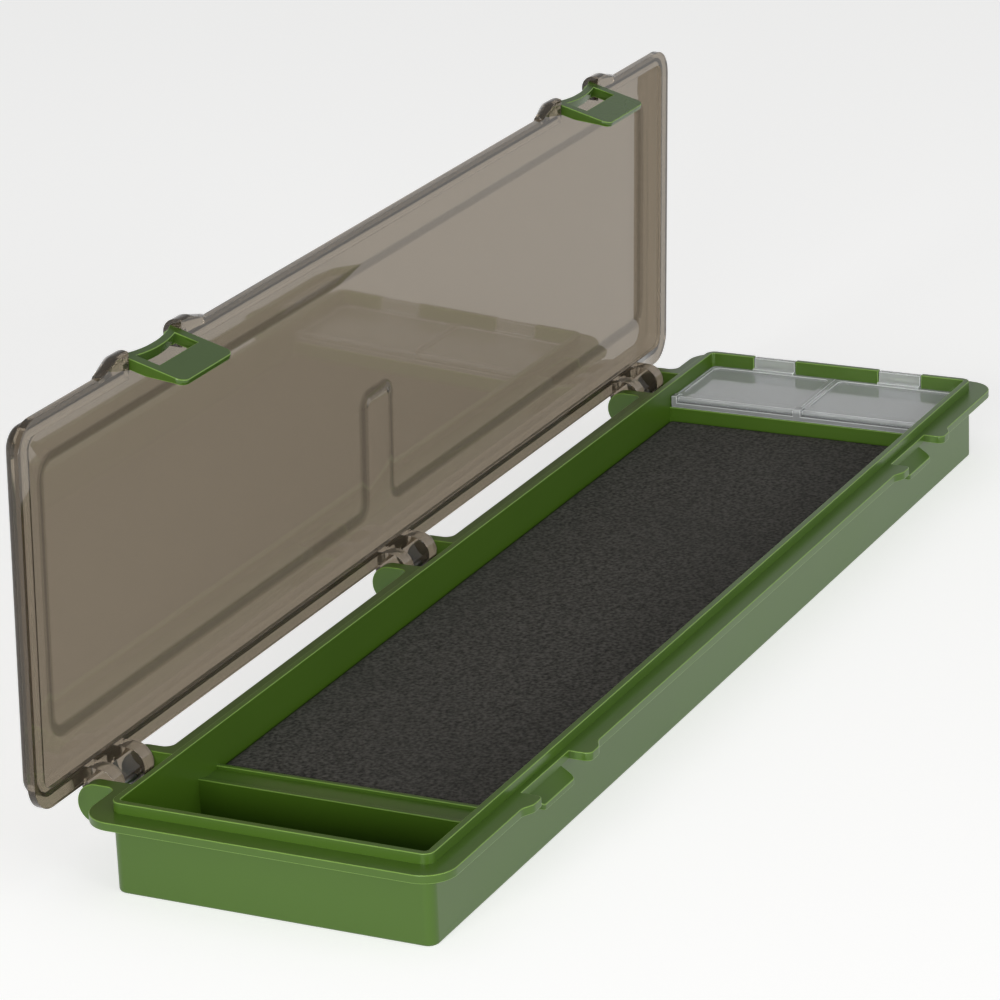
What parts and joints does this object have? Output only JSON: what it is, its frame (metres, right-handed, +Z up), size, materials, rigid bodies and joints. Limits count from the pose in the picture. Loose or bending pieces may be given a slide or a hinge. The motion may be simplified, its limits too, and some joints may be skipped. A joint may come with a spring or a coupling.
{
  "type": "rig box",
  "caption": "Long shallow tackle case with a clear hinged lid, swinging latches, a foam bed for rigs and a small clear bit tray with its own lids.",
  "frame": {"origin": "middle of the underside that the base stands on", "axes": "+X along the box from the long empty end to the bit tray, -Y towards the latches, +Y towards the hinges, +Z up"},
  "size_m": [0.371, 0.1147, 0.1195],
  "materials": {
    "green_plastic": "moulded, satin",
    "latch_plastic": "moulded, glossy",
    "smoke_plastic": "clear moulded plastic with a light smoke tint",
    "clear_plastic": "clear moulded plastic",
    "steel": "drawn wire",
    "foam": "dark grey closed-cell foam"
  },
  "bodies": {
    "base": {"base": "green_plastic", "hinge_pin_near": "steel", "hinge_pin_middle": "steel", "hinge_pin_far": "steel", "foam_pad": "foam", "bit_tray": "clear_plastic"},
    "lid": {"lid": "smoke_plastic"},
    "latch_near": {"latch_near": "latch_plastic"},
    "latch_far": {"latch_far": "latch_plastic"},
    "bit_lid_back": {"bit_lid_back": "clear_plastic"},
    "bit_lid_front": {"bit_lid_front": "clear_plastic"}
  },
  "joints": [
    {"name": "lid_hinge", "type": "hinge", "parent": "base", "child": "lid", "pos_m": [0, 0.0538, 0.0156], "axis": [-1, 0, 0], "range_deg": [-88, 0]},
    {"name": "latch_near_pivot", "type": "hinge", "parent": "lid", "child": "latch_near", "pos_m": [-0.122, 0.05731, 0.11578], "axis": [-1, 0, 0], "range_deg": [0, 100]},
    {"name": "latch_far_pivot", "type": "hinge", "parent": "lid", "child": "latch_far", "pos_m": [0.122, 0.05731, 0.11578], "axis": [-1, 0, 0], "range_deg": [0, 100]},
    {"name": "bit_lid_back_hinge", "type": "hinge", "parent": "base", "child": "bit_lid_back", "pos_m": [0.1472, 0.0201, 0.01885], "axis": [0, -1, 0], "range_deg": [0, 100]},
    {"name": "bit_lid_front_hinge", "type": "hinge", "parent": "base", "child": "bit_lid_front", "pos_m": [0.1472, -0.0201, 0.01885], "axis": [0, -1, 0], "range_deg": [0, 100]}
  ]
}
